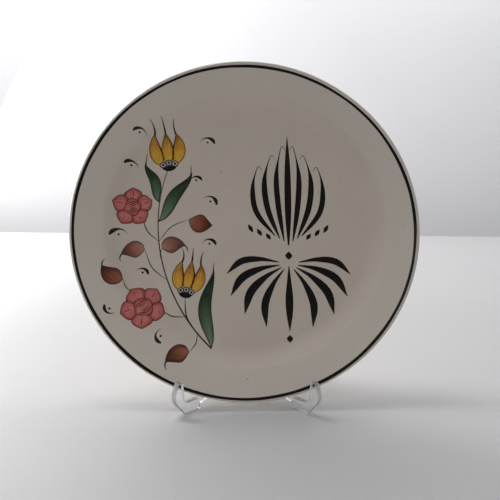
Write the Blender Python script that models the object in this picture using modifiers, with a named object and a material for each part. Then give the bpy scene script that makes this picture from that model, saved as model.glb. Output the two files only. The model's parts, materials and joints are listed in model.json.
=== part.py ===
"""A hand painted ceramic plate, leaning on a clear plastic stand of two interlocking legs.

Metres, +Z up, and +Y away from someone who looks at the painted face. The origin lies on the table,
straight below the line where the two legs cross, which is the middle of the stand's footprint.
"""

import math

import bmesh
import bpy
from mathutils import Matrix, Vector

# The plate, as radii and as heights above the plane that its foot ring rests on.
PLATE_RADIUS = 0.125
WELL_RADIUS = 0.0925
SHOULDER_RADIUS = 0.103
FOOT_RADIUS = 0.078
FOOT_WIDTH = 0.0055
FOOT_TAPER = 0.0006
FOOT_HEIGHT = 0.005
FLOOR_THICKNESS = 0.0058
SHOULDER_RISE = 0.007
RIM_RISE = 0.0055
RIM_THICKNESS = 0.0042
LIP_ROUNDING = 0.0020
WELL_FILLET = 0.014
SHOULDER_FILLET = 0.010
FOOT_FILLET = 0.0007
SHOULDER_BACK_INSET = 0.0005
WELL_BACK_INSET = 0.0015
HANGING_HOLE_RADIUS = 0.0012
HANGING_HOLE_SPREAD = math.radians(13)

# How the plate stands: its lean from upright, and where the lowest point of its lip is.
LEAN = math.radians(19)
LIP_HEIGHT = 0.005
LIP_SETBACK = -0.0408

# The stand: two legs cut from one thickness of sheet, crossing under the plate.
SHEET = 0.004
HALF_ANGLE = math.radians(41)
LEG_HEIGHT = 0.095
TAIL_REACH = 0.0729
REAR_PAD = (0.053, 0.0695)
ARCH_HEIGHT = 0.0085
FRONT_ARCH_HEIGHT = 0.0042
ARCH_SLOPE_LENGTH = 0.016
NOSE_HEIGHT = 0.0125
HOOK_HEIGHT = 0.0228
CREST_HEIGHT = 0.0040
UPRIGHT_WIDTH = 0.015
UPRIGHT_HEEL = 0.043
TAIL_HEIGHT = 0.0115
HEEL_HEIGHT = 0.0175
VALLEY_HEIGHT = 0.0185

# How far each place at the leg's front is ahead of the corner that the plate's lip sits in.
FRONT_PAD_REACH = (0.0151, 0.0027)
NOTCH_REACH = 0.0167
HOOK_REACH = (0.0221, 0.0182)
NOSE_REACH = 0.0266

# Slopes of the stand's outline, as the distance that an edge leans over its length.
FRONT_PAD_DRAFT = 0.0006
REAR_PAD_DRAFT = 0.0012
NOTCH_FALL = 0.0006

# Roundings of the stand's outline, from the front pad round to the nose.
TOE_ROUNDING = 0.0015
PAD_ROUNDING = 0.0008
FRONT_ARCH_ROUNDING = 0.002
ARCH_BEND = 0.010
REAR_ARCH_ROUNDING = 0.005
TAIL_ROUNDINGS = (0.0025, 0.0058)
HEEL_CURVE = 0.020
UPRIGHT_ROUNDING = 0.006
VALLEY_CURVE = 0.018
CREST_ROUNDING = 0.002
SEAT_ROUNDING = 0.0012
NOTCH_CURVE = 0.004
HOOK_ROUNDINGS = (0.0014, 0.0022)
NOSE_CURVE = 0.009

# Clearances between pieces that touch in use, and between the legs' two slots.
SEAT_GAP = 0.0003
SLOT_GAP = 0.0003

# Fineness of the round stretches.
PLATE_STEPS = 80
ARC_STEP = math.radians(24)


def clear_scene():
    for obj in list(bpy.data.objects):
        bpy.data.objects.remove(obj, do_unlink=True)


def new_collection(name):
    collection = bpy.data.collections.new(name)
    bpy.context.scene.collection.children.link(collection)
    return collection


def new_material(name, colour, roughness, transmission=0.0):
    material = bpy.data.materials.new(name)
    material.use_nodes = True
    shader = material.node_tree.nodes["Principled BSDF"]
    shader.inputs["Base Color"].default_value = (*colour, 1.0)
    shader.inputs["Roughness"].default_value = roughness
    shader.inputs["Metallic"].default_value = 0.0
    shader.inputs["Transmission Weight"].default_value = transmission
    return material


def arc(before, corner, after, radius):
    """The points of the arc that rounds one corner of a path."""
    back = (before - corner).normalized()
    ahead = (after - corner).normalized()
    half = back.angle(ahead) / 2
    centre = corner + (back + ahead).normalized() * radius / math.sin(half)
    start = corner + back * radius / math.tan(half) - centre
    turn = start.angle_signed(corner + ahead * radius / math.tan(half) - centre)
    steps = max(2, math.ceil(abs(turn) / ARC_STEP))
    return [centre + Matrix.Rotation(-turn * k / steps, 2) @ start for k in range(steps + 1)]


def rounded(corners, closed):
    """A path through corners (x, y, radius), with an arc at each corner that has a radius."""
    count = len(corners)
    path = []
    for i, (x, y, radius) in enumerate(corners):
        corner = Vector((x, y))
        if radius == 0 or (not closed and i in (0, count - 1)):
            path.append(corner)
            continue
        before = Vector(corners[i - 1][:2])
        after = Vector(corners[(i + 1) % count][:2])
        path.extend(arc(before, corner, after, radius))
    return path


# ---- The plate's section and its place -------------------------------------------------------


def plate_heights():
    """Heights of the well's floor, the top of the shoulder and the lip, above the foot's plane."""
    floor = FOOT_HEIGHT + FLOOR_THICKNESS
    shoulder = floor + SHOULDER_RISE
    return floor, shoulder, shoulder + RIM_RISE


def plate_section():
    """The plate's half section, from the middle of its face, round the lip, to the middle of its back."""
    floor, shoulder, lip = plate_heights()
    foot_inner = FOOT_RADIUS - FOOT_WIDTH
    return rounded(
        [
            (0, floor, 0),
            (WELL_RADIUS, floor, WELL_FILLET),
            (SHOULDER_RADIUS, shoulder, SHOULDER_FILLET),
            (PLATE_RADIUS, lip, LIP_ROUNDING),
            (PLATE_RADIUS, lip - RIM_THICKNESS, LIP_ROUNDING),
            (SHOULDER_RADIUS - SHOULDER_BACK_INSET, shoulder - RIM_THICKNESS, SHOULDER_FILLET),
            (WELL_RADIUS - WELL_BACK_INSET, FOOT_HEIGHT, WELL_FILLET),
            (FOOT_RADIUS, FOOT_HEIGHT, FOOT_FILLET),
            (FOOT_RADIUS - FOOT_TAPER, 0, FOOT_FILLET),
            (foot_inner + FOOT_TAPER, 0, FOOT_FILLET),
            (foot_inner, FOOT_HEIGHT, FOOT_FILLET),
            (0, FOOT_HEIGHT, 0),
        ],
        closed=False,
    )


def lip_plane():
    """Height of the lip's widest circle above the foot's plane."""
    return plate_heights()[2] - RIM_THICKNESS / 2


def plate_matrix():
    """Puts the plate's own +Z along its painted face's normal and +Y up its face, leaning back."""
    up = Vector((0, math.sin(LEAN), math.cos(LEAN)))
    face = Vector((0, -math.cos(LEAN), math.sin(LEAN)))
    lowest = Vector((0, LIP_SETBACK, LIP_HEIGHT))
    centre = lowest + up * PLATE_RADIUS - face * lip_plane()
    return Matrix.Translation(centre) @ Matrix.Rotation(math.pi / 2 - LEAN, 4, "X")


def lower_half(radius, height, x):
    """(y, z) of the place on the plate's lower half with this radius and height, at x from the middle."""
    place = plate_matrix() @ Vector((x, -math.sqrt(radius**2 - x**2), height))
    return place.y, place.z


def lip_underside(x):
    """Height of the lip's underside above the table, at x from the middle."""
    outer = [point for point in plate_section() if point.x > SHOULDER_RADIUS]
    return min(lower_half(point.x, point.y, x)[1] for point in outer)


def rim_back(height, x):
    """How far back the rim's rear surface is at a height above the table, at x from the middle."""
    floor, shoulder, lip = plate_heights()
    low_y, low_z = lower_half(PLATE_RADIUS, lip - RIM_THICKNESS, x)
    high_y, high_z = lower_half(SHOULDER_RADIUS, shoulder - RIM_THICKNESS, x)
    return low_y + (high_y - low_y) * (height - low_z) / (high_z - low_z)


# ---- The legs' outline, as distance along the leg from the crossing, and height --------------


def along_leg(y):
    """The distance along a leg's middle plane to a place y, for the leg's side that is nearer the plate."""
    return (y + SHEET / 2 * math.sin(HALF_ANGLE)) / math.cos(HALF_ANGLE)


def backrest(height):
    """Where the leg's front edge is at a height: a line that the plate's foot ring leans on."""
    foot_plane = LIP_SETBACK + lip_plane() / math.cos(LEAN)
    return along_leg(foot_plane + (height - LIP_HEIGHT) * math.tan(LEAN) + SEAT_GAP / math.cos(LEAN))


def backrest_height(along):
    """The height at which the backrest's line passes a distance along the leg."""
    rise = math.cos(HALF_ANGLE) / math.tan(LEAN)
    return (along - backrest(0)) * rise


def seat():
    """Places (along the leg, height) of the corner that the plate's lip sits in, and of the crest behind it."""
    crest = along_leg(LIP_SETBACK)
    for _ in range(6):
        inside = -crest * math.sin(HALF_ANGLE) - SHEET / 2 * math.cos(HALF_ANGLE)
        floor = lip_underside(inside) - SEAT_GAP
        crest = along_leg(rim_back(floor + CREST_HEIGHT, inside) + SEAT_GAP)
    corner = crest - CREST_HEIGHT * math.tan(LEAN) / math.cos(HALF_ANGLE)
    return (corner, floor), (crest, floor + CREST_HEIGHT)


def slot(end_height, from_top):
    """The four corners of the slot at the crossing, in the order in which the outline passes them."""
    crossing = 2 * HALF_ANGLE
    half = SHEET * (1 + abs(math.cos(crossing))) / math.sin(crossing) / 2 + SLOT_GAP
    if from_top:
        ends = (half, backrest_height(half)), (-half, backrest_height(-half))
        floor = end_height - SLOT_GAP / 2
    else:
        ends = (-half, ARCH_HEIGHT), (half, ARCH_HEIGHT)
        floor = end_height + SLOT_GAP / 2
    (first, first_height), (last, last_height) = ends
    return [(first, first_height, 0), (first, floor, 0), (last, floor, 0), (last, last_height, 0)]


def leg_outline(slot_from_top):
    """The leg's outline. It runs along the floor to the rear, up the upright, and back over the hook."""
    (corner, corner_height), (crest, crest_height) = seat()
    lap = (ARCH_HEIGHT + backrest_height(0)) / 2
    cut = slot(lap, slot_from_top)
    under = [] if slot_from_top else cut
    over = cut if slot_from_top else []
    return rounded(
        [
            (corner - FRONT_PAD_REACH[0], 0, TOE_ROUNDING),
            (corner - FRONT_PAD_REACH[1], 0, PAD_ROUNDING),
            (corner - FRONT_PAD_REACH[1] + FRONT_PAD_DRAFT, FRONT_ARCH_HEIGHT, FRONT_ARCH_ROUNDING),
            (crest, FRONT_ARCH_HEIGHT, ARCH_BEND),
            (crest + ARCH_SLOPE_LENGTH, ARCH_HEIGHT, ARCH_BEND),
            *under,
            (REAR_PAD[0] - REAR_PAD_DRAFT, ARCH_HEIGHT, REAR_ARCH_ROUNDING),
            (REAR_PAD[0], 0, PAD_ROUNDING),
            (REAR_PAD[1], 0, TAIL_ROUNDINGS[0]),
            (TAIL_REACH, TAIL_HEIGHT, TAIL_ROUNDINGS[1]),
            (UPRIGHT_HEEL, HEEL_HEIGHT, HEEL_CURVE),
            (backrest(LEG_HEIGHT) + UPRIGHT_WIDTH, LEG_HEIGHT, UPRIGHT_ROUNDING),
            (backrest(LEG_HEIGHT), LEG_HEIGHT, UPRIGHT_ROUNDING),
            *over,
            (backrest(VALLEY_HEIGHT), VALLEY_HEIGHT, VALLEY_CURVE),
            (crest, crest_height, CREST_ROUNDING),
            (corner, corner_height, SEAT_ROUNDING),
            (corner - NOTCH_REACH, corner_height + NOTCH_FALL, NOTCH_CURVE),
            (corner - HOOK_REACH[1], HOOK_HEIGHT, HOOK_ROUNDINGS[0]),
            (corner - HOOK_REACH[0], HOOK_HEIGHT, HOOK_ROUNDINGS[1]),
            (corner - NOSE_REACH, NOSE_HEIGHT, NOSE_CURVE),
        ],
        closed=True,
    )


# ---- Objects ---------------------------------------------------------------------------------


def make_plate(parts, cutters, material):
    section = plate_section()
    mesh = bpy.data.meshes.new("plate")
    edges = [(i, i + 1) for i in range(len(section) - 1)]
    mesh.from_pydata([(p.x, 0, p.y) for p in section], edges, [])
    plate = bpy.data.objects.new("plate", mesh)
    parts.objects.link(plate)
    plate.matrix_world = plate_matrix()

    turn = plate.modifiers.new("turn", "SCREW")
    turn.steps = PLATE_STEPS
    turn.render_steps = PLATE_STEPS
    turn.use_merge_vertices = True
    turn.merge_threshold = 0.00005
    turn.use_smooth_shade = True
    mesh.materials.append(material)

    for side in (-1, 1):
        drill = plate.modifiers.new("hanging_hole", "BOOLEAN")
        drill.operation = "DIFFERENCE"
        drill.solver = "EXACT"
        drill.object = make_hole_cutter(cutters, side)
    return plate


def make_hole_cutter(cutters, side):
    """A round cutter that runs along a radius, through the upper part of the plate's foot ring."""
    mesh = bpy.data.meshes.new("hanging_hole")
    shape = bmesh.new()
    bmesh.ops.create_cone(
        shape,
        cap_ends=True,
        segments=12,
        radius1=HANGING_HOLE_RADIUS,
        radius2=HANGING_HOLE_RADIUS,
        depth=3 * FOOT_WIDTH,
    )
    shape.to_mesh(mesh)
    shape.free()
    cutter = bpy.data.objects.new("hanging_hole", mesh)
    cutters.objects.link(cutter)
    cutter.hide_render = True
    cutter.display_type = "WIRE"
    radius = FOOT_RADIUS - FOOT_WIDTH / 2
    spoke = Matrix.Rotation(side * HANGING_HOLE_SPREAD, 4, "Z")
    place = Matrix.Translation((0, radius, FOOT_HEIGHT / 2)) @ Matrix.Rotation(math.pi / 2, 4, "X")
    cutter.matrix_world = plate_matrix() @ spoke @ place
    return cutter


def make_leg(parts, name, slot_from_top, hook_side, material):
    """A flat leg. hook_side is -1 for the leg whose hook is at -X, and 1 for the other."""
    outline = leg_outline(slot_from_top)
    curve = bpy.data.curves.new(name, "CURVE")
    curve.dimensions = "2D"
    curve.fill_mode = "BOTH"
    curve.extrude = SHEET / 2
    spline = curve.splines.new("POLY")
    spline.points.add(len(outline) - 1)
    for point, place in zip(spline.points, outline):
        point.co = (place.x, place.y, 0, 1)
    spline.use_cyclic_u = True
    curve.materials.append(material)

    leg = bpy.data.objects.new(name, curve)
    parts.objects.link(leg)
    leg.rotation_euler = (math.pi / 2, 0, math.pi / 2 + hook_side * HALF_ANGLE)
    return leg


def main():
    clear_scene()
    parts = new_collection("painted_plate_on_stand")
    cutters = new_collection("cutters")
    ceramic = new_material("glazed_ceramic", (0.78, 0.74, 0.67), 0.12)
    plastic = new_material("clear_plastic", (0.93, 0.94, 0.93), 0.08, transmission=1.0)
    make_plate(parts, cutters, ceramic)
    make_leg(parts, "lower_leg", True, -1, plastic)
    make_leg(parts, "upper_leg", False, 1, plastic)


main()
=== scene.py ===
"""Looks of a hand painted ceramic plate leaning on a clear plastic stand."""

import json
import math

import bmesh
import bpy
import numpy as np
from mathutils import Matrix, Vector


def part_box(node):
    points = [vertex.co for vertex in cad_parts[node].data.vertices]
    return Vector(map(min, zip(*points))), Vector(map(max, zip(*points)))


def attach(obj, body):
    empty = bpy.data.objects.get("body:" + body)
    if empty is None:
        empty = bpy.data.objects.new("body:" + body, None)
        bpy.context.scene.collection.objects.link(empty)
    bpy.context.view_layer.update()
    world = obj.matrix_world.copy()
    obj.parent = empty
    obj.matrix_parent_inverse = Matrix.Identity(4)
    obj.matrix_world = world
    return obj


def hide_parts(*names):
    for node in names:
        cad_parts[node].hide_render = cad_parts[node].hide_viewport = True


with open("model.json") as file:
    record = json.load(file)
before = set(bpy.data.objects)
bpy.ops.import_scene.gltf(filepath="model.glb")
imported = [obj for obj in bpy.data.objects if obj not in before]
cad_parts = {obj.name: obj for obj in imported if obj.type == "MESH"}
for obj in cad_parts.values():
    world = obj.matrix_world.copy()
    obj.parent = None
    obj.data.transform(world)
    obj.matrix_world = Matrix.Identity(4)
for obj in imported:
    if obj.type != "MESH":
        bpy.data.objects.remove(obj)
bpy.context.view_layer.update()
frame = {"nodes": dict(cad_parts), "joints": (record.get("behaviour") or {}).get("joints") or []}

MM = 0.001

# The plate's section, in millimetres above its foot's plane, and its glaze.
FOOT_HEIGHT = 5.0
FLOOR = 10.8
SHOULDER = 17.8
LIP = 23.3
RIM_THICKNESS = 4.2
WELL_RADIUS = 92.5
SHOULDER_RADIUS = 103.0
FOOT_OUTER = 78.0
FOOT_INNER = 72.5
FOOT_TAPER = 0.6
HOLE_RADIUS = 1.2
HOLE_SPREAD = math.radians(13)
DRILL_LENGTH = 16.5
SHOULDER_BACK_INSET = 0.5
WELL_BACK_INSET = 1.5
PLATE_SEGMENTS = 288
HAND_WOBBLE = 0.12

# The painting's film, in millimetres.
FILM = 0.05
FILM_LAYER = 0.018
FILM_CROWN = 0.035
FILM_SUNK = 0.03
FILM_BANK = 0.10
RIM_LINE_RADIUS = 121.6
RIM_LINE_WIDTH = 2.05
RIM_LINE_CENTRE = (-0.4, -1.1)

# The stand's polished edges.
EDGE_POLISH = 0.00035


# ---- Places --------------------------------------------------------------------------------


def node_points(name):
    mesh = frame["nodes"][name].data
    points = np.empty(len(mesh.vertices) * 3)
    mesh.vertices.foreach_get("co", points)
    return points.reshape(-1, 3)


def plate_place():
    """The plate's own frame: +Y up its face, +Z out of its painted side, its origin in its foot's plane."""
    lift = next(joint for joint in frame["joints"] if joint["name"] == "plate_lift")
    up = Vector(lift["axis"]).normalized()
    face = Vector((1, 0, 0)).cross(up)
    points = node_points("plate")
    heights = points @ np.array(face)
    along = points @ np.array(up)
    centre = up * (along.max() + along.min()) / 2 + face * heights.min()
    place = Matrix((Vector((1, 0, 0)), up, face)).transposed().to_4x4()
    place.translation = centre
    return place


PLATE_PLACE = plate_place()
PLATE_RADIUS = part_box("plate")[1].x / MM


# ---- Outlines and curves -------------------------------------------------------------------


def rounded_path(corners, step=math.radians(6)):
    """A path through (x, y, radius) corners, each rounded by an arc of its radius."""
    path = []
    for i, (x, y, radius) in enumerate(corners):
        corner = np.array((x, y), float)
        if not radius:
            path.append(corner)
            continue
        back = np.array(corners[i - 1][:2]) - corner
        ahead = np.array(corners[i + 1][:2]) - corner
        back /= np.linalg.norm(back)
        ahead /= np.linalg.norm(ahead)
        half = math.acos(float(back @ ahead)) / 2
        centre = corner + (back + ahead) / np.linalg.norm(back + ahead) * radius / math.sin(half)
        start = corner + back * radius / math.tan(half) - centre
        end = corner + ahead * radius / math.tan(half) - centre
        turn = math.atan2(start[0] * end[1] - start[1] * end[0], float(start @ end))
        steps = max(2, math.ceil(abs(turn) / step))
        for k in range(steps + 1):
            c, s = math.cos(turn * k / steps), math.sin(turn * k / steps)
            path.append(centre + np.array((c * start[0] - s * start[1], s * start[0] + c * start[1])))
    return np.array(path)


def with_steps(path, longest):
    """The same path, with no span longer than longest."""
    points = [path[0]]
    for a, b in zip(path, path[1:]):
        count = max(1, math.ceil(np.linalg.norm(b - a) / longest))
        points.extend(a + (b - a) * k / count for k in range(1, count + 1))
    return np.array(points)


def smooth_curve(points, count):
    """count places, evenly spaced, along a smooth curve through the points."""
    points = np.array(points, float)
    padded = np.vstack([2 * points[0] - points[1], points, 2 * points[-1] - points[-2]])
    t = np.linspace(0, 1, 16, endpoint=False)[:, None]
    spans = []
    for a, b, c, d in zip(padded, padded[1:], padded[2:], padded[3:]):
        spans.append(
            0.5 * (2 * b + (c - a) * t + (2 * a - 5 * b + 4 * c - d) * t**2 + (3 * b - a - 3 * c + d) * t**3)
        )
    fine = np.vstack([*spans, points[-1:]])
    length = np.concatenate([[0], np.cumsum(np.linalg.norm(np.diff(fine[:, :2], axis=0), axis=1))])
    even = np.linspace(0, length[-1], count)
    return np.stack([np.interp(even, length, column) for column in fine.T], 1)


def curve_length(points):
    points = np.array(points, float)
    return float(np.linalg.norm(np.diff(points[:, :2], axis=0), axis=1).sum())


# ---- The plate -----------------------------------------------------------------------------


def front_section():
    return rounded_path(
        [
            (0, FLOOR, 0),
            (WELL_RADIUS, FLOOR, 14),
            (SHOULDER_RADIUS, SHOULDER, 10),
            (PLATE_RADIUS, LIP, 2),
            (PLATE_RADIUS, LIP - RIM_THICKNESS, 0),
        ]
    )


def back_section():
    return rounded_path(
        [
            (PLATE_RADIUS, LIP, 0),
            (PLATE_RADIUS, LIP - RIM_THICKNESS, 2),
            (SHOULDER_RADIUS - SHOULDER_BACK_INSET, SHOULDER - RIM_THICKNESS, 10),
            (WELL_RADIUS - WELL_BACK_INSET, FOOT_HEIGHT, 14),
            (FOOT_OUTER, FOOT_HEIGHT, 0.7),
            (FOOT_OUTER - FOOT_TAPER, 0, 0.7),
            (FOOT_INNER + FOOT_TAPER, 0, 0.7),
            (FOOT_INNER, FOOT_HEIGHT, 0.7),
            (0, FOOT_HEIGHT, 0),
        ],
        step=math.radians(12),
    )


FACE = front_section()[:-1]
SECTION = np.vstack([with_steps(FACE, 4), with_steps(back_section()[1:], 4)])


def face_height(radius):
    """Height of the glazed face above the foot's plane, in millimetres."""
    return np.interp(radius, FACE[:, 0], FACE[:, 1])


def on_face(flat, lift):
    """Places in the plate's frame, in metres, for flat (x, y) places in millimetres on its face."""
    radius = np.linalg.norm(flat, axis=-1)
    slope = (face_height(radius + 0.3) - face_height(radius - 0.3)) / 0.6
    out = np.where(radius > 0.01, radius, 1.0)[..., None]
    normal = np.concatenate([-flat / out * slope[..., None], np.ones_like(slope)[..., None]], -1)
    normal /= np.linalg.norm(normal, axis=-1, keepdims=True)
    base = np.concatenate([flat, face_height(radius)[..., None]], -1)
    return (base + normal * np.asarray(lift)[..., None]) * MM


def grid_faces(rows, columns, first=0, closed=False):
    """Quads of a grid of vertices, row by row. A closed grid's last column meets its first."""
    faces = []
    for i in range(rows - 1):
        for j in range(columns if closed else columns - 1):
            k = (j + 1) % columns
            low, high = first + i * columns, first + (i + 1) * columns
            faces.append((low + j, high + j, high + k, low + k))
    return faces


def link_piece(name, mesh, material):
    mesh.materials.append(material)
    piece = bpy.data.objects.new(name, mesh)
    bpy.context.scene.collection.objects.link(piece)
    return piece


def new_piece(name, vertices, faces, material, smooth=True):
    mesh = bpy.data.meshes.new(name)
    mesh.from_pydata(np.asarray(vertices).tolist(), [], faces)
    mesh.polygons.foreach_set("use_smooth", [smooth] * len(mesh.polygons))
    return link_piece(name, mesh, material)


def note(piece, name, vectors):
    """Keeps one vector for each vertex, for the piece's material to read."""
    layer = piece.data.attributes.new(name, "FLOAT_VECTOR", "POINT")
    layer.data.foreach_set("vector", np.asarray(vectors, float).ravel())


def stood_up(places):
    """Places in the plate's own frame, taken to where the plate stands."""
    turn = np.array(PLATE_PLACE.to_3x3())
    return np.asarray(places) @ turn.T + np.array(PLATE_PLACE.translation)


def make_plate(material):
    """The fired plate: its section turned about its axis, a little out of true as hand work is."""
    ring = SECTION[(SECTION[:, 0] > 0.01)]
    angles = np.arange(PLATE_SEGMENTS) * 2 * math.pi / PLATE_SEGMENTS
    wobble = 1 - 0.3 * np.sin(2 * angles + 0.6) - 0.4 * np.sin(3 * angles + 2.1) - 0.3 * np.sin(7 * angles)
    share = np.clip((ring[:, 0] - SHOULDER_RADIUS) / (PLATE_RADIUS - SHOULDER_RADIUS), 0, 1)
    radius = ring[:, 0, None] - HAND_WOBBLE / 2 * share[:, None] * wobble
    x = radius * np.cos(angles)
    y = radius * np.sin(angles)
    z = np.repeat(ring[:, 1, None], PLATE_SEGMENTS, 1)
    vertices = np.stack([x, y, z], -1).reshape(-1, 3)
    faces = grid_faces(len(ring), PLATE_SEGMENTS, closed=True)
    top, bottom = len(vertices), len(vertices) + 1
    last = (len(ring) - 1) * PLATE_SEGMENTS
    for j in range(PLATE_SEGMENTS):
        k = (j + 1) % PLATE_SEGMENTS
        faces.append((top, j, k))
        faces.append((bottom, last + k, last + j))
    vertices = np.vstack([vertices, (0, 0, FLOOR), (0, 0, FOOT_HEIGHT)])
    plate = new_piece("glazed_plate", stood_up(vertices * MM), faces, material)
    drill_hanging_holes(plate)
    return plate


def drill_hanging_holes(plate):
    """Two small round holes for a hanging wire, drilled outwards through the upper part of the foot ring."""
    cutters = []
    for side in (-1, 1):
        drill = bmesh.new()
        round_bit = {"segments": 24, "radius1": HOLE_RADIUS, "radius2": HOLE_RADIUS, "depth": DRILL_LENGTH}
        bmesh.ops.create_cone(drill, cap_ends=True, **round_bit)
        spoke = Matrix.Rotation(side * HOLE_SPREAD, 4, "Z")
        place = Matrix.Translation((0, (FOOT_OUTER + FOOT_INNER) / 2, FOOT_HEIGHT / 2))
        outwards = Matrix.Rotation(math.pi / 2, 4, "X")
        drill.transform(PLATE_PLACE @ Matrix.Scale(MM, 4) @ spoke @ place @ outwards)
        mesh = bpy.data.meshes.new("hanging_hole")
        drill.to_mesh(mesh)
        drill.free()
        cutter = bpy.data.objects.new("hanging_hole", mesh)
        bpy.context.scene.collection.objects.link(cutter)
        cutters.append(cutter)
        cut = plate.modifiers.new("hanging_hole", "BOOLEAN")
        cut.operation = "DIFFERENCE"
        cut.solver = "EXACT"
        cut.object = cutter
    bpy.context.view_layer.update()
    drilled = bpy.data.meshes.new_from_object(plate.evaluated_get(bpy.context.evaluated_depsgraph_get()))
    plate.modifiers.clear()
    plate.data = drilled
    for cutter in cutters:
        bpy.data.objects.remove(cutter, do_unlink=True)
    places = np.empty(len(drilled.vertices) * 3)
    drilled.vertices.foreach_get("co", places)
    turn = np.array(PLATE_PLACE.to_3x3())
    note(plate, "on_plate", (places.reshape(-1, 3) - np.array(PLATE_PLACE.translation)) @ turn / MM)


# ---- The painting --------------------------------------------------------------------------


class Paint:
    """Brush marks of one colour, gathered into one thin film that lies on the plate's face."""

    def __init__(self, name, material):
        self.name = name
        self.material = material
        self.vertices = []
        self.faces = []
        self.brush = []
        self.grain = []
        self.marks = 0

    def film(self, left, right, layer, endless=False):
        """Fills the space between two edges that have the same number of places."""
        width = np.linalg.norm(right - left, axis=1)
        widest = float(width.max())
        inner = max(1, math.ceil(widest / 1.6))
        bank = min(0.25, FILM_BANK / max(widest, 0.01))
        across = np.concatenate([[0], bank + (1 - 2 * bank) * np.arange(inner + 1) / inner, [1]])
        flat = left[:, None] + (right - left)[:, None] * across[None, :, None]
        crown = 1 - (2 * across - 1) ** 2
        lift = FILM + FILM_LAYER * layer + FILM_CROWN * crown[None] * np.minimum(1, width / 2)[:, None]
        lift[:, 0] = -FILM_SUNK
        lift[:, -1] = -FILM_SUNK
        if not endless:
            lift[0] = -FILM_SUNK
            lift[-1] = -FILM_SUNK
        rows, columns = len(left), len(across)
        first = sum(len(block) for block in self.vertices)
        self.vertices.append(on_face(flat, lift).reshape(-1, 3))
        self.faces.extend(grid_faces(rows, columns, first))
        middle = (left + right) / 2
        length = np.concatenate([[0], np.cumsum(np.linalg.norm(np.diff(middle, axis=0), axis=1))])
        t = np.repeat(length[:, None] / max(length[-1], 0.01), columns, 1)
        s = np.repeat(2 * across[None] - 1, rows, 0)
        edge = (1 - np.abs(s)) * width[:, None] / 2
        self.brush.append(np.stack([t, s, edge], -1).reshape(-1, 3))
        self.marks += 1
        seed = np.full(t.shape, (self.marks * 0.618034) % 1)
        grain = np.stack([t * length[-1], s * widest / 2, seed], -1)
        self.grain.append(grain.reshape(-1, 3))

    def stroke(self, points, half_widths, layer=1):
        """One pass of the brush along a curve, with its half width at evenly spaced places."""
        count = max(10, math.ceil(curve_length(points) / 0.8))
        line = smooth_curve(points, count)
        run = np.gradient(line, axis=0)
        run /= np.maximum(np.linalg.norm(run, axis=1, keepdims=True), 1e-9)
        side = np.stack([-run[:, 1], run[:, 0]], 1)
        places = np.linspace(0, 1, len(half_widths))
        widths = smooth_curve(np.stack([places, half_widths], 1), 200)
        half = np.interp(np.linspace(0, 1, count), widths[:, 0], widths[:, 1])[:, None].clip(0.02)
        self.film(line + side * half, line - side * half, layer)

    def petal(self, one_edge, other_edge, layer=2):
        """A shape between two edges that both run from its first end to its last."""
        count = max(14, math.ceil(max(curve_length(one_edge), curve_length(other_edge)) / 0.9))
        self.film(smooth_curve(one_edge, count), smooth_curve(other_edge, count), layer)

    def dot(self, x, y, radius, layer=2, squeeze=1.0):
        """A round touch of the brush."""
        angles = np.linspace(0, math.pi, 13)
        reach = radius * np.stack([np.cos(angles), squeeze * np.sin(angles)], 1)
        centre = np.array((x, y), float)
        self.film(centre + reach, centre + reach * (1, -1), layer)

    def build(self):
        piece = new_piece(self.name, stood_up(np.vstack(self.vertices)), self.faces, self.material)
        note(piece, "brush", np.vstack(self.brush))
        note(piece, "grain", np.vstack(self.grain))
        return piece


def paint_rim_line(material):
    """The line round the rim, drawn on a wheel, with the brush's small changes of pressure."""
    angles = np.linspace(0, 2 * math.pi, 361)
    waver = 0.10 * np.sin(3 * angles + 1) + 0.06 * np.sin(11 * angles) + 0.03 * np.sin(29 * angles + 2)
    half = RIM_LINE_WIDTH / 2 * (1 + 0.10 * np.sin(5 * angles + 0.4) + 0.05 * np.sin(17 * angles + 1.3))
    out = np.stack([np.cos(angles), np.sin(angles)], 1)
    paint = Paint("rim_line", material)
    inner = RIM_LINE_CENTRE + out * (RIM_LINE_RADIUS + waver - half)[:, None]
    outer = RIM_LINE_CENTRE + out * (RIM_LINE_RADIUS + waver + half)[:, None]
    paint.film(inner, outer, 1, endless=True)
    return [paint.build()]


def sweep(start, turn, length, bend=0.0, sway=0.0):
    """Places along a line that sets off at an angle and bends evenly, or sways to one side and back."""
    share = np.linspace(0, 1, 11)
    heading = turn + bend * share + sway * np.sin(2 * math.pi * share)
    steps = np.stack([np.cos(heading), np.sin(heading)], 1) * length / (len(share) - 1)
    return np.asarray(start, float) + np.vstack([(0, 0), np.cumsum((steps[:-1] + steps[1:]) / 2, axis=0)])


def blade(start, turn, length, width, bend=0.0, sway=0.0, fullness=1.0):
    """A petal's or leaf's two edges. With fullness below 1 the widest part is nearer its base."""
    spine = sweep(start, turn, length, bend, sway)
    along = np.gradient(spine, axis=0)
    along /= np.linalg.norm(along, axis=1)[:, None]
    aside = np.stack([-along[:, 1], along[:, 0]], 1)
    half = width / 2 * np.sin(math.pi * np.linspace(0, 1, len(spine)) ** fullness)[:, None]
    return spine + aside * half, spine - aside * half


def beside(place, turn, ahead, aside=0.0):
    """The place that lies ahead of another, and aside to its left, for someone facing along turn."""
    forward = np.array((math.cos(turn), math.sin(turn)))
    return np.asarray(place, float) + ahead * forward + aside * np.array((-forward[1], forward[0]))


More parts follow.
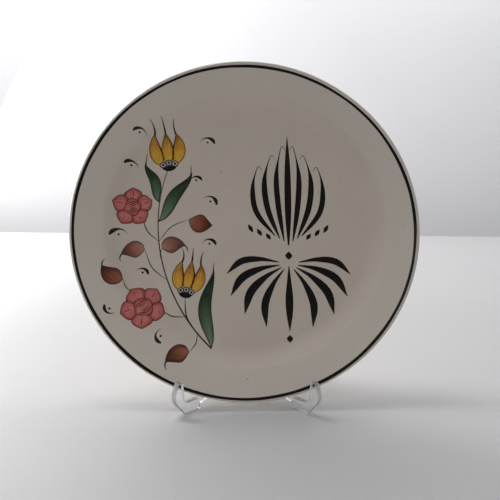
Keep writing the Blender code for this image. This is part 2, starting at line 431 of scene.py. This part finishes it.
STEM_FOOT = (-24, -90)
MAIN_STEM = sweep(STEM_FOOT, math.radians(137), 146, -1.15)
TULIPS = ((MAIN_STEM[-1], math.radians(98), 1.0), ((-43, -51), math.radians(80), 0.88))
ROSES = ((-83, 12, 0.3, 1.0), (-72, -61, 0.9, 1.05))
BUD = ((-42, 3), math.radians(-28))
BROAD_LEAVES = (((-73, -20), 166, 1), ((-61, -19), 34, -1))
LOWER_LEAVES = (((-87, -42), 172, -1), ((-39, -92), 178, 1))
LONG_LEAVES = (
    (MAIN_STEM[7], 38, 46, 9.5, 0.7, 0.35),
    (MAIN_STEM[8], 128, 34, 8, -0.6, -0.45),
    (STEM_FOOT, 92, 58, 9.5, -0.1, 0.28),
)


def paint_tulips(petals, veins):
    """Each tulip has three petals that end in long drawn-out points."""
    petal = Paint("tulip_petals", petals)
    vein = Paint("petal_tips", veins)
    for heart, turn, size in TULIPS:
        for side in (-1, 1, 0):
            start = beside(heart, turn, 0.5 * size, side * 4.2 * size)
            facing, bend = turn + side * 0.62, -side * 1.0
            length, width = 27 * size, (9.5 if side else 9) * size
            edges = blade(start, facing, length, width, bend, 0, 0.8)
            petal.petal(edges[0][::-1], edges[1][::-1], 3 if side else 4)
            tip = sweep(start, facing, length, bend)[-2]
            vein.stroke(sweep(tip, facing + bend, 13 * size, side * 0.9 + 0.2), (0.7, 0.6, 0.35, 0.1), 5)
            inner = edges[0] if side < 0 else edges[1]
            vein.stroke(inner[1:-1], (0.1, 0.45, 0.4, 0.1), 6)
    return [petal.build(), vein.build()]


def paint_hearts(halo, black):
    """Each tulip's heart: a black cup with three ringed seeds above it."""
    pale = Paint("heart_halos", halo)
    core = Paint("tulip_hearts", black)
    for heart, turn, size in TULIPS:
        for side in (-1, 0, 1):
            x, y = beside(heart, turn, (2.6 - 1.2 * abs(side)) * size, side * 4.4 * size)
            core.dot(x, y, 2.6 * size, 7)
            pale.dot(x, y, 2.0 * size, 8.5)
            core.dot(x, y, 1.0 * size, 10.5)
        places = [(0.07 * aside * aside - 1.9, aside) for aside in (-6, -3, 0, 3, 6)]
        cup = [beside(heart, turn, ahead * size, aside * size) for ahead, aside in places]
        core.stroke(cup, (0.4, 1.7, 2.0, 1.7, 0.4), 6.5)
    return [pale.build(), core.build()]


def paint_roses(pink, shade):
    """Each rose has five round outer petals, a round heart, and folds that wind into it."""
    rose = Paint("rose_petals", pink)
    fold = Paint("rose_folds", shade)
    for x, y, turn, size in ROSES:
        for k in range(5):
            facing = turn + k * 2 * math.pi / 5
            rose.petal(*blade((x, y), facing, 15 * size, 13.5 * size, 0.15, 0, 1.5), 2 + 0.2 * k)
            start = beside((x, y), facing, 7.5 * size)
            fold.stroke(sweep(start, facing, 5 * size, 0.3), (0.1, 0.4, 0.1), 4.5)
        start = beside((x, y), turn, -7 * size)
        rose.petal(*blade(start, turn, 14 * size, 14.5 * size), 5)
        for reach, long in ((5.0, 12), (3.2, 8), (1.5, 4)):
            for facing in (turn, turn + math.pi):
                start = beside((x, y), facing, reach * size)
                winding = sweep(start, facing + 1.9, long * size, long / reach * 0.85)
                fold.stroke(winding, (0.1, 0.5, 0.45, 0.1), 7)
    return [rose.build(), fold.build()]


def paint_bud_and_leaves(red, brown, deep_brown):
    """The round bud and the broad leaves, which darken towards their hooked tips."""
    bud = Paint("round_bud", red)
    bud.petal(*blade(*BUD, 18, 14, 0.5, 0, 0.9), 3)
    pieces = [bud.build()]
    for name, places, material in (
        ("broad_leaves", BROAD_LEAVES, brown),
        ("lower_broad_leaves", LOWER_LEAVES, deep_brown),
    ):
        leaf = Paint(name, material)
        for start, degrees, side in places:
            leaf.petal(*blade(start, math.radians(degrees), 18, 12.5, side * 0.9, 0, 0.75), 3)
        pieces.append(leaf.build())
    return pieces


def paint_green_leaves(green):
    """Long swaying leaves, two near the top of the main stem and one by its foot."""
    leaf = Paint("long_leaves", green)
    for start, degrees, length, width, bend, sway in LONG_LEAVES:
        leaf.petal(*blade(start, math.radians(degrees), length, width, bend, sway, 0.85), 3)
    return [leaf.build()]


def paint_stems(brown_ink):
    """The main stem, a side stem to each flower and leaf, and the leaves' drawn-out tips."""
    stem = Paint("stems", brown_ink)
    stem.stroke(MAIN_STEM, (0.6, 0.5, 0.42, 0.35), 1.5)
    ends = [
        (MAIN_STEM[6], (-76, 5), 0.42),
        (MAIN_STEM[2], (-60, -63), 0.42),
        (MAIN_STEM[1], (-43.5, -54), 0.5),
        (MAIN_STEM[6], BUD[0], 0.34),
        (MAIN_STEM[1], LOWER_LEAVES[1][0], 0.36),
        ((-80, -51), LOWER_LEAVES[0][0], 0.36),
        (MAIN_STEM[4], BROAD_LEAVES[0][0], 0.38),
        (MAIN_STEM[5], BROAD_LEAVES[1][0], 0.38),
    ]
    for start, end, half in ends:
        start, end = np.asarray(start, float), np.asarray(end, float)
        bow = np.array((start[1] - end[1], end[0] - start[0])) * 0.12
        stem.stroke([start, (start + end) / 2 + bow, end], (0.12, half, half, 0.15), 1.5)
    for start, degrees, side in (*BROAD_LEAVES, *LOWER_LEAVES):
        tip = sweep(start, math.radians(degrees), 18, side * 0.9)[-2]
        stem.stroke(sweep(tip, math.radians(degrees) + side * 0.9, 7, side * 1.5), (0.6, 0.45, 0.1), 4)
    for start, degrees, length, _, bend, sway in LONG_LEAVES:
        tip = sweep(start, math.radians(degrees), length, bend, sway)[-2]
        stem.stroke(sweep(tip, math.radians(degrees) + bend, 11, 0.5 * bend), (0.5, 0.35, 0.1), 4)
    return [stem.build()]


def paint_flicks(ink):
    """Comma strokes, each with a dot in its bend, that fill the ground between the flowers."""
    flick = Paint("comma_flicks", ink)
    for x, y, degrees, side, size in (
        (-24, 62, 100, 1, 1.0),
        (-90, 44, 60, -1, 0.9),
        (-22, 14, 80, 1, 1.0),
        (-98, -10, 80, -1, 1.1),
        (-22, -16, 100, 1, 0.9),
        (-33, 33, 110, 1, 0.8),
        (-70, -38, 90, 1, 0.8),
        (-97, -60, 250, 1, 0.8),
        (-58, -86, 170, -1, 0.9),
        (-84, 68, 60, -1, 0.9),
    ):
        turn = math.radians(degrees)
        flick.stroke(sweep((x, y), turn, 15 * size, side * 2.6), (0.6, 1.35 * size, 0.7, 0.3, 0.08), 2)
        dot_x, dot_y = beside((x, y), turn, 2 * size, side * 5 * size)
        flick.dot(dot_x, dot_y, 0.8, 2)
    return [flick.build()]


def paint_ornament(ink):
    """The large black motif: a tall palmette of curved blades above a drooping fan of petals."""
    motif = Paint("palmette_and_fan", ink)
    middle, root = 31.0, -16.0
    motif.stroke([(middle, root), (middle, 16), (middle, 44), (middle, 69)], (0.5, 2.2, 2.5, 1.9, 0.15), 3)
    blades = (
        ((3.2, root + 3), (7.2, 14), (8.4, 38), (4.6, 60), 2.1),
        ((6.4, root + 5), (15.2, 12), (17.4, 34), (12.6, 53), 2.2),
        ((9.6, root + 7), (23.4, 9), (26.2, 28), (22.4, 44), 2.0),
    )
    for side in (-1, 1):
        for *line, half in blades:
            points = [(middle + side * x, y) for x, y in line]
            curl = np.array(points[-1]) - (side * 3.4, 2.6)
            motif.stroke([*points, tuple(curl)], (0.3, half * 0.8, half, half * 0.9, 0.5, 0.12), 3)
        # A sprig of drops beside the palmette's foot.
        for k in range(3):
            x = middle + side * (13 + 6.5 * k)
            drop = [(x, root + 4.5 + 2.6 * k), (x + side * 3.6, root + 9 + 3.4 * k)]
            motif.stroke(drop, (0.25, 1.5, 0.15), 3)
    # A wide fan of petals that droop from the collar, the outer ones longest.
    for side in (-1, 1):
        for reach, low, half in ((45, -37, 2.3), (42, -53, 2.7), (32, -66, 2.8), (16.5, -75, 2.6)):
            start = np.array((reach * 0.12 + 1.5, -27 + (low + 27) * 0.13))
            end = np.array((reach, low))
            bow = np.array((-low - 27, reach)) * 0.10 + (0, 2)
            line = [start, start * 0.65 + end * 0.35 + bow * 0.8, start * 0.3 + end * 0.7 + bow, end]
            line = [(middle + side * x, y) for x, y in line]
            motif.stroke(line, (0.25, half * 0.55, half, half * 0.95, 0.12), 3)
    for y, size in ((-23.5, 3.2), (-83, 2.8)):
        left_edge = [(middle, y + size), (middle - size * 0.8, y), (middle, y - size)]
        right_edge = [(middle, y + size), (middle + size * 0.8, y), (middle, y - size)]
        motif.petal(left_edge, right_edge, 3)
    motif.stroke([(middle, -31), (middle, -48), (middle, -66), (middle, -78)], (0.25, 1.6, 2.8, 2.2, 0.12), 3)
    return [motif.build()]


# ---- Materials -----------------------------------------------------------------------------


class Socket:
    """An output of a shader node, which can be used in arithmetic."""

    def __init__(self, tree, output):
        self.tree = tree
        self.output = output

    def math(self, operation, *values):
        node = self.tree.nodes.new("ShaderNodeMath")
        node.operation = operation
        for socket, value in zip(node.inputs, values):
            if isinstance(value, Socket):
                self.tree.links.new(value.output, socket)
            else:
                socket.default_value = value
        return Socket(self.tree, node.outputs[0])

    def __add__(self, other):
        return self.math("ADD", self, other)

    def __radd__(self, other):
        return self.math("ADD", other, self)

    def __sub__(self, other):
        return self.math("SUBTRACT", self, other)

    def __rsub__(self, other):
        return self.math("SUBTRACT", other, self)

    def __mul__(self, other):
        return self.math("MULTIPLY", self, other)

    def __rmul__(self, other):
        return self.math("MULTIPLY", other, self)

    def __pow__(self, other):
        return self.math("POWER", self, other)

    def __abs__(self):
        return self.math("ABSOLUTE", self)


class Finish:
    """A material under construction, around one Principled shader."""

    def __init__(self, name, **fixed):
        self.material = bpy.data.materials.new(name)
        self.material.use_nodes = True
        self.tree = self.material.node_tree
        self.shader = self.tree.nodes["Principled BSDF"]
        for key, value in fixed.items():
            self.shader.inputs[key.replace("_", " ")].default_value = value

    def node(self, kind, settings=None, inputs=None, output=0):
        """A new node's output. Settings come before sockets, and a ramp's stops are (place, colour) pairs."""
        node = self.tree.nodes.new(kind)
        for key, value in (settings or {}).items():
            if key == "stops":
                while len(node.color_ramp.elements) < len(value):
                    node.color_ramp.elements.new(0.5)
                for element, (place, colour) in zip(node.color_ramp.elements, value):
                    element.position = place
                    element.color = (*colour, 1)
            else:
                setattr(node, key, value)
        for key, value in (inputs or {}).items():
            if isinstance(value, Socket):
                self.tree.links.new(value.output, node.inputs[key])
            else:
                node.inputs[key].default_value = value
        return Socket(self.tree, node.outputs[output])

    def object_place(self):
        """The place on the piece in millimetres."""
        place = self.node("ShaderNodeTexCoord", output="Object")
        return self.node("ShaderNodeVectorMath", {"operation": "SCALE"}, {0: place, "Scale": 1000.0})

    def attribute(self, name):
        return self.node("ShaderNodeAttribute", {"attribute_name": name}, output="Vector")

    def parts(self, vector):
        return [self.node("ShaderNodeSeparateXYZ", None, {0: vector}, k) for k in range(3)]

    def joined(self, x, y, z):
        return self.node("ShaderNodeCombineXYZ", None, {0: x, 1: y, 2: z})

    def noise(self, place, scale, detail=2.0, roughness=0.5):
        inputs = {"Vector": place, "Scale": scale, "Detail": detail, "Roughness": roughness}
        return self.node("ShaderNodeTexNoise", None, inputs)

    def step(self, value, low, high):
        """0 below low and 1 above high, smoothly."""
        inputs = {"Value": value, "From Min": low, "From Max": high}
        return self.node("ShaderNodeMapRange", {"interpolation_type": "SMOOTHSTEP"}, inputs)

    def ramp(self, value, stops):
        return self.node("ShaderNodeValToRGB", {"stops": stops}, {"Fac": value})

    def mix(self, share, one, other):
        """The colour that is one where share is 0 and other where it is 1."""
        colours = [c if isinstance(c, Socket) else (*c, 1) for c in (one, other)]
        return self.node("ShaderNodeMix", {"data_type": "RGBA"}, {0: share, 6: colours[0], 7: colours[1]}, 2)

    def feed(self, **sockets):
        for key, socket in sockets.items():
            self.tree.links.new(socket.output, self.shader.inputs[key.replace("_", " ")])

    def bump(self, height, strength, distance):
        inputs = {"Height": height, "Strength": strength, "Distance": distance}
        self.feed(Normal=self.node("ShaderNodeBump", None, inputs))


def glaze():
    """Cream tin glaze with painted shade in a ring at the shoulder, thin on the lip, with pinholes, and wiped
    off the foot.
    """
    finish = Finish("cream_glaze", Coat_Roughness=0.06, Specular_IOR_Level=0.5)
    place = finish.attribute("on_plate")
    x, y, z = finish.parts(place)
    radius = (x * x + y * y) ** 0.5
    cloud = finish.noise(place, 0.022, 3.0)
    mottle = finish.noise(place, 0.14, 4.0, 0.6)
    colour = finish.mix(finish.step(cloud, 0.35, 0.65), (0.83, 0.725, 0.60), (0.80, 0.70, 0.58))
    colour = finish.mix(mottle * 0.35, colour, (0.70, 0.62, 0.535))
    rim = finish.step(radius + mottle * 3.0, 100.5, 106.0)
    colour = finish.mix(rim * 0.5, colour, (0.78, 0.735, 0.645))
    # Painted shade: a darker ring in the hollow where the well curves up into the shoulder.
    shoulder_shade = 1 - finish.step(abs(radius - 97.5), 1.5, 7.0)
    colour = finish.mix(shoulder_shade * 0.10, colour, (0.62, 0.54, 0.46))
    lip = finish.step(radius + mottle * 0.5, 124.3, 125.2)
    colour = finish.mix(lip * 0.45, colour, (0.62, 0.53, 0.43))
    cells = {"Vector": place, "Scale": 0.085, "Randomness": 1.0}
    speck = finish.node("ShaderNodeTexVoronoi", None, cells, "Distance")
    size = finish.noise(place, 0.06, 0.0)
    specks = 1 - finish.step(speck - size * 0.055, -0.010, 0.016)
    colour = finish.mix(specks * 0.75, colour, (0.23, 0.17, 0.12))
    # The foot ring's sole is bare fired clay.
    grit = finish.noise(place, 1.7, 5.0, 0.7)
    sole = 1 - finish.step(z + grit * 0.5, 0.85, 1.15)
    clay = finish.mix(grit, (0.60, 0.42, 0.31), (0.74, 0.57, 0.45))
    colour = finish.mix(sole, colour, clay)
    finish.feed(Base_Color=colour)
    finish.feed(Roughness=0.13 + mottle * 0.10 + sole * 0.55)
    finish.feed(Coat_Weight=0.35 * (1 - sole))
    orange_peel = finish.noise(place, 0.25, 2.0)
    finish.bump(orange_peel * 0.5 + cloud * 1.5 + specks * -0.3 + sole * grit * 0.8, 0.5, 0.00022)
    return finish.material


def pigment(name, stops, deep, outline, streaks=0.35, light=None, reach=2.0):
    """Paint that changes colour along each mark, shaded towards its edges, with a darker drawn outline."""
    finish = Finish(name, Coat_Roughness=0.06, Specular_IOR_Level=0.14)
    t, s, edge = finish.parts(finish.attribute("brush"))
    along, across, seed = finish.parts(finish.attribute("grain"))
    streak_place = finish.joined(along * 0.07, across * 1.1, seed * 37.0)
    streak = finish.noise(streak_place, 1.0, 4.0, 0.65)
    wash = finish.noise(finish.joined(along * 0.16, across * 0.16, seed * 91.0), 1.0, 2.0)
    colour = finish.ramp(t + (streak - 0.5) * streaks + (wash - 0.5) * streaks * 0.8, stops)
    if light:
        crest = (1 - abs(s - (seed - 0.5) * 0.5)) * finish.step(streak + wash, 0.75, 1.25)
        colour = finish.mix(crest * (0.75 - t * 0.7), colour, light)
    hairs = finish.noise(finish.joined(along * 0.05, across * 2.6, seed * 71.0), 1.0, 2.0, 0.5)
    colour = finish.mix(finish.step(hairs, 0.50, 0.66) * 0.55, colour, deep)
    shaded = 1 - finish.step(edge - (wash - 0.5) * 1.6, 0.2, reach)
    colour = finish.mix(shaded * (0.45 + wash * 0.5), colour, deep)
    drawn = 1 - finish.step(edge + (streak - 0.5) * 0.5, 0.35, 0.90)
    colour = finish.mix(drawn * 0.92, colour, outline)
    finish.feed(Base_Color=colour)
    finish.feed(Roughness=0.15 + streak * 0.16)
    finish.feed(Coat_Weight=0.04 + wash * 0.04)
    finish.bump(streak + wash * 0.5, 0.35, 0.00008)
    return finish.material


def ink(name, deep, thin, dry=0.5):
    """Black or brown line paint: dense where the brush was full, thinner and streaky where it ran dry."""
    finish = Finish(name, Coat_Roughness=0.06, Specular_IOR_Level=0.14)
    t = finish.parts(finish.attribute("brush"))[0]
    along, across, seed = finish.parts(finish.attribute("grain"))
    streak = finish.noise(finish.joined(along * 0.12, across * 2.2, seed * 53.0), 1.0, 4.0, 0.65)
    pool = finish.noise(finish.joined(along * 0.3, across * 0.3, seed * 17.0), 1.0, 2.0)
    starved = finish.step(t + (streak - 0.5) * 0.5, 0.72, 1.05) * dry
    thinned = finish.step(streak + pool * 0.3, 0.62, 0.95) * 0.35
    colour = finish.mix(thinned + starved, deep, thin)
    finish.feed(Base_Color=colour)
    finish.feed(Roughness=0.16 + streak * 0.14)
    finish.feed(Coat_Weight=0.03 + pool * 0.04)
    finish.bump(streak + pool * 0.6, 0.3, 0.00006)
    return finish.material


def clear_plastic():
    """Clear cast plastic with the faint swirl, smudges and hairline scratches of a handled stand."""
    finish = Finish("clear_plastic", Transmission_Weight=1.0, IOR=1.49, Coat_Roughness=0.03)
    place = finish.object_place()
    x, y, z = finish.parts(place)
    smudge = finish.noise(place, 0.09, 4.0, 0.6)
    hair = finish.noise(finish.joined(x * 0.08, y * 0.08, z * 3.0), 1.0, 2.0)
    sawn = finish.parts(finish.attribute("sawn"))[0]
    clear = finish.mix(smudge, (0.985, 0.99, 0.99), (0.95, 0.965, 0.965))
    finish.feed(Base_Color=finish.mix(sawn, clear, (0.99, 0.99, 0.985)))
    scuffs = finish.step(smudge, 0.5, 0.8) * 0.08 + finish.step(hair, 0.66, 0.74) * 0.04
    finish.feed(Roughness=0.015 + scuffs + sawn * 0.30)
    finish.bump(finish.noise(place, 0.07, 1.0) + hair * 0.15 + sawn * smudge * 0.4, 0.25, 0.0002)
    return finish.material


# ---- The stand -----------------------------------------------------------------------------


def make_leg(node, name, material):
    """A leg cut from sheet, with two glossy broad faces and a rounded, slightly frosted rim."""
    shape = bmesh.new()
    shape.from_mesh(frame["nodes"][node].data)
    bmesh.ops.remove_doubles(shape, verts=shape.verts, dist=1e-6)
    bmesh.ops.dissolve_limit(shape, angle_limit=math.radians(1), verts=shape.verts, edges=shape.edges)
    sheet_faces = sorted(shape.faces, key=lambda face: -face.calc_area())[:2]
    rims = [edge for face in sheet_faces for edge in face.edges]
    bmesh.ops.bevel(shape, geom=rims, offset=EDGE_POLISH, segments=3, profile=0.5, affect="EDGES")
    sheet_faces = sorted(shape.faces, key=lambda face: -face.calc_area())[:2]
    glossy = {vertex.index for face in sheet_faces for vertex in face.verts}
    for face in shape.faces:
        face.smooth = face not in sheet_faces
    for edge in shape.edges:
        edge.smooth = edge.calc_face_angle(0) < math.radians(40)
    mesh = bpy.data.meshes.new(name)
    shape.to_mesh(mesh)
    shape.free()
    leg = link_piece(name, mesh, material)
    note(leg, "sawn", [(vertex.index not in glossy, 0, 0) for vertex in mesh.vertices])
    return leg


# ---- Setting -------------------------------------------------------------------------------


def stage_finish(name, colour, other, roughness):
    finish = Finish(name)
    place = finish.object_place()
    cloud = finish.noise(place, 0.004, 3.0)
    finish.feed(Base_Color=finish.mix(cloud, colour, other))
    finish.feed(Roughness=roughness + cloud * 0.1)
    return finish.material


def make_stage():
    """A pale table top that runs back to a white wall."""
    half, front, back, height = 3.0, -3.0, 1.06, 2.6
    floor = new_piece(
        "table_top",
        [(-half, front, 0), (half, front, 0), (half, back, 0), (-half, back, 0)],
        [(0, 1, 2, 3)],
        stage_finish("pale_table", (0.60, 0.595, 0.595), (0.56, 0.555, 0.56), 0.5),
        smooth=False,
    )
    wall = new_piece(
        "wall",
        [(x, back + 0.25, z) for x, z in ((-half, -0.6), (half, -0.6), (half, height), (-half, height))],
        [(0, 1, 2, 3)],
        stage_finish("white_wall", (0.92, 0.92, 0.94), (0.88, 0.88, 0.91), 0.8),
        smooth=False,
    )


def make_light(name, place, target, size, energy, colour):
    light = bpy.data.lights.new(name, "AREA")
    light.shape = "RECTANGLE"
    light.size, light.size_y = size
    light.energy = energy
    light.color = colour
    lamp = bpy.data.objects.new(name, light)
    lamp.location = place
    lamp.rotation_euler = (Vector(target) - Vector(place)).to_track_quat("-Z", "Y").to_euler()
    bpy.context.scene.collection.objects.link(lamp)


def make_lights():
    make_light("window_behind", (-1.0, 0.95, 0.55), (0, 0, 0.05), (1.1, 0.9), 13, (1, 0.99, 0.98))
    make_light("wall_wash", (-0.9, 0.5, 1.6), (-0.7, 1.3, 0.6), (1.6, 0.5), 22, (1, 1, 1))
    make_light("far_wall_wash", (0.9, 0.7, 1.5), (0.75, 1.3, 0.5), (0.8, 0.4), 6, (1, 1, 1))
    world = bpy.data.worlds.new("room")
    world.use_nodes = True
    background = world.node_tree.nodes["Background"]
    background.inputs["Color"].default_value = (0.97, 0.97, 1.0, 1)
    background.inputs["Strength"].default_value = 0.30
    bpy.context.scene.world = world


def make_camera():
    camera = bpy.data.cameras.new("camera")
    camera.lens = 36
    camera.sensor_width = 36
    viewer = bpy.data.objects.new("camera", camera)
    yaw, pitch, roll = (math.radians(a) for a in (-2.18, -7.85, -0.72))
    turn = Matrix.Rotation(yaw, 4, "Z") @ Matrix.Rotation(pitch, 4, "X") @ Matrix.Rotation(roll, 4, "Y")
    upright = Matrix.Rotation(math.pi / 2, 4, "X")
    viewer.matrix_world = Matrix.Translation((-0.0109, -0.3563, 0.151)) @ turn @ upright
    bpy.context.scene.collection.objects.link(viewer)
    bpy.context.scene.camera = viewer


# ---- Assembly ------------------------------------------------------------------------------


def main():
    black = ink("black_line", (0.008, 0.007, 0.006), (0.05, 0.045, 0.04))
    fine_black = ink("fine_black", (0.014, 0.012, 0.010), (0.30, 0.27, 0.23), 0.9)
    umber = ink("umber_line", (0.055, 0.045, 0.034), (0.28, 0.24, 0.20), 0.7)
    vein_brown = ink("vein_brown", (0.05, 0.022, 0.008), (0.20, 0.10, 0.035), 0.5)
    fold_red = ink("fold_red", (0.12, 0.018, 0.014), (0.34, 0.09, 0.08), 0.6)
    halo = pigment(
        "bare_halo",
        [(0, (0.72, 0.67, 0.60)), (1, (0.68, 0.63, 0.56))],
        (0.5, 0.46, 0.4),
        (0.4, 0.37, 0.32),
        0.2,
    )
    yellow = pigment(
        "ochre_yellow",
        [
            (0.05, (0.11, 0.045, 0.022)),
            (0.2, (0.36, 0.12, 0.016)),
            (0.4, (0.70, 0.28, 0.022)),
            (0.62, (0.87, 0.46, 0.03)),
            (0.95, (0.90, 0.58, 0.11)),
        ],
        (0.60, 0.27, 0.03),
        (0.12, 0.06, 0.018),
        0.30,
        (0.92, 0.66, 0.22),
    )
    pink = pigment(
        "rose_pink",
        [
            (0.0, (0.62, 0.16, 0.14)),
            (0.3, (0.72, 0.21, 0.18)),
            (0.65, (0.74, 0.23, 0.21)),
            (1.0, (0.52, 0.12, 0.105)),
        ],
        (0.34, 0.05, 0.042),
        (0.05, 0.018, 0.013),
        0.5,
        (0.84, 0.40, 0.36),
        3.4,
    )
    brown = pigment(
        "leaf_brown",
        [
            (0.0, (0.58, 0.31, 0.23)),
            (0.35, (0.42, 0.16, 0.115)),
            (0.62, (0.24, 0.075, 0.045)),
            (0.82, (0.07, 0.035, 0.022)),
            (0.97, (0.03, 0.022, 0.015)),
        ],
        (0.17, 0.085, 0.055),
        (0.09, 0.06, 0.04),
        0.4,
        (0.56, 0.32, 0.24),
        2.4,
    )
    deep_brown = pigment(
        "deep_leaf_brown",
        [
            (0.0, (0.44, 0.17, 0.11)),
            (0.35, (0.32, 0.085, 0.045)),
            (0.6, (0.15, 0.045, 0.025)),
            (0.8, (0.05, 0.022, 0.014)),
            (0.97, (0.022, 0.014, 0.010)),
        ],
        (0.10, 0.035, 0.02),
        (0.06, 0.035, 0.022),
        0.4,
        (0.46, 0.20, 0.13),
        3.0,
    )
    red = pigment(
        "bud_red",
        [
            (0.0, (0.44, 0.20, 0.15)),
            (0.22, (0.40, 0.115, 0.065)),
            (0.5, (0.30, 0.065, 0.032)),
            (0.75, (0.12, 0.034, 0.018)),
            (0.95, (0.03, 0.014, 0.009)),
        ],
        (0.14, 0.045, 0.028),
        (0.07, 0.03, 0.02),
        0.35,
        (0.46, 0.20, 0.13),
        2.4,
    )
    green = pigment(
        "leaf_green",
        [
            (0.02, (0.33, 0.35, 0.25)),
            (0.16, (0.18, 0.25, 0.15)),
            (0.36, (0.075, 0.145, 0.075)),
            (0.58, (0.022, 0.045, 0.020)),
            (0.85, (0.008, 0.011, 0.005)),
        ],
        (0.04, 0.07, 0.035),
        (0.014, 0.022, 0.010),
        0.28,
        (0.20, 0.28, 0.18),
        1.8,
    )
    plate = make_plate(glaze())
    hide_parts("plate")
    painting = [
        *paint_rim_line(black),
        *paint_tulips(yellow, vein_brown),
        *paint_hearts(halo, black),
        *paint_roses(pink, fold_red),
        *paint_bud_and_leaves(red, brown, deep_brown),
        *paint_green_leaves(green),
        *paint_stems(umber),
        *paint_flicks(fine_black),
        *paint_ornament(black),
    ]
    for piece in [plate, *painting]:
        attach(piece, "dish")

    plastic = clear_plastic()
    for node, body in (("lower_leg", "lower"), ("upper_leg", "upper")):
        leg = make_leg(node, f"clear_{node}", plastic)
        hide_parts(node)
        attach(leg, body)

    make_stage()
    make_lights()
    make_camera()
    bpy.context.scene.view_settings.view_transform = "Standard"


main()
